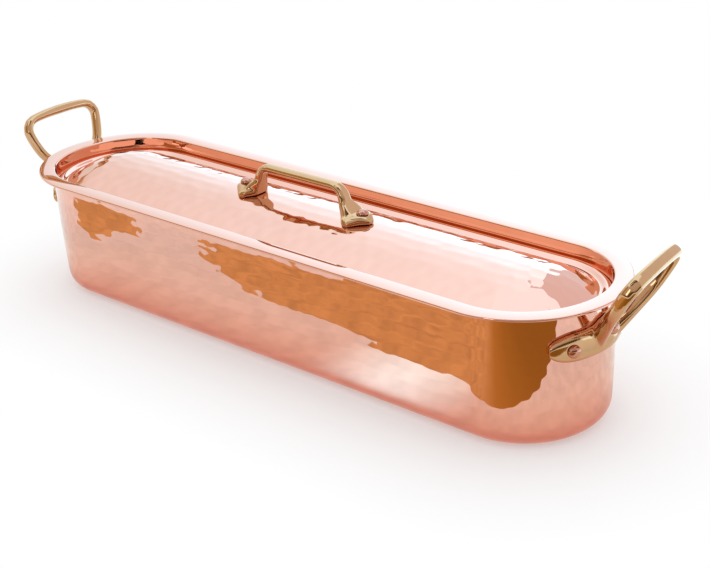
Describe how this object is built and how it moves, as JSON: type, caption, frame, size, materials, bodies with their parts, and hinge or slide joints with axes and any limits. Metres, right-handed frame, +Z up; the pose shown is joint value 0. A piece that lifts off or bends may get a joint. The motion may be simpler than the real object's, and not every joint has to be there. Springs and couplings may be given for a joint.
{
  "type": "fish poacher",
  "caption": "Long hammered copper fish poacher with round ends, flat rim, sunk domed lid with a bronze bridge handle, bronze loop handles and a lift-out perforated rack with folding grips.",
  "frame": {"origin": "middle of the pan's flat underside, which it stands on", "axes": "+X along the pan to the end on the picture's right, +Y away from the picture's viewer across the pan, +Z up"},
  "size_m": [0.5758, 0.14, 0.1305],
  "materials": {
    "copper_sheet": "polished copper, planished by hammer",
    "cast_bronze": "cast bronze, filed and polished",
    "copper_rivet": "hammered copper rivet",
    "tinned_rack": "tinned, wiped satin"
  },
  "bodies": {
    "pan": {"pan_body": "copper_sheet", "handle_right": "cast_bronze", "rivet_right_near": "copper_rivet", "rivet_right_middle": "copper_rivet", "rivet_right_far": "copper_rivet", "handle_left": "cast_bronze", "rivet_left_far": "copper_rivet", "rivet_left_middle": "copper_rivet", "rivet_left_near": "copper_rivet"},
    "lid": {"lid_panel": "copper_sheet", "lid_handle": "cast_bronze", "lid_rivet_right": "copper_rivet", "lid_rivet_left": "copper_rivet"},
    "rack": {"rack_plate": "tinned_rack", "rack_foot_1": "tinned_rack", "rack_saddle_1": "tinned_rack", "rack_rivet_1": "tinned_rack", "rack_foot_2": "tinned_rack", "rack_saddle_2": "tinned_rack", "rack_rivet_2": "tinned_rack", "rack_foot_3": "tinned_rack", "rack_saddle_3": "tinned_rack", "rack_rivet_3": "tinned_rack", "rack_foot_4": "tinned_rack", "rack_saddle_4": "tinned_rack", "rack_rivet_4": "tinned_rack"},
    "grip_right": {"rack_grip_right": "tinned_rack"},
    "grip_left": {"rack_grip_left": "tinned_rack"}
  },
  "joints": [
    {"name": "lid_lift", "type": "slide", "parent": "pan", "child": "lid", "axis": [0, 0, 1], "range_m": [0, 0.3]},
    {"name": "rack_lift", "type": "slide", "parent": "pan", "child": "rack", "axis": [0, 0, 1], "range_m": [0, 0.15]},
    {"name": "grip_right_hinge", "type": "hinge", "parent": "rack", "child": "grip_right", "pos_m": [0.178, 0, 0.0138], "axis": [0, 1, 0], "range_deg": [0, 180]},
    {"name": "grip_left_hinge", "type": "hinge", "parent": "rack", "child": "grip_left", "pos_m": [-0.178, 0, 0.0138], "axis": [0, -1, 0], "range_deg": [0, 180]}
  ],
  "couplings": [
    {"joint": "rack_lift", "follows": "lid_lift", "ratio": 0.5}
  ]
}
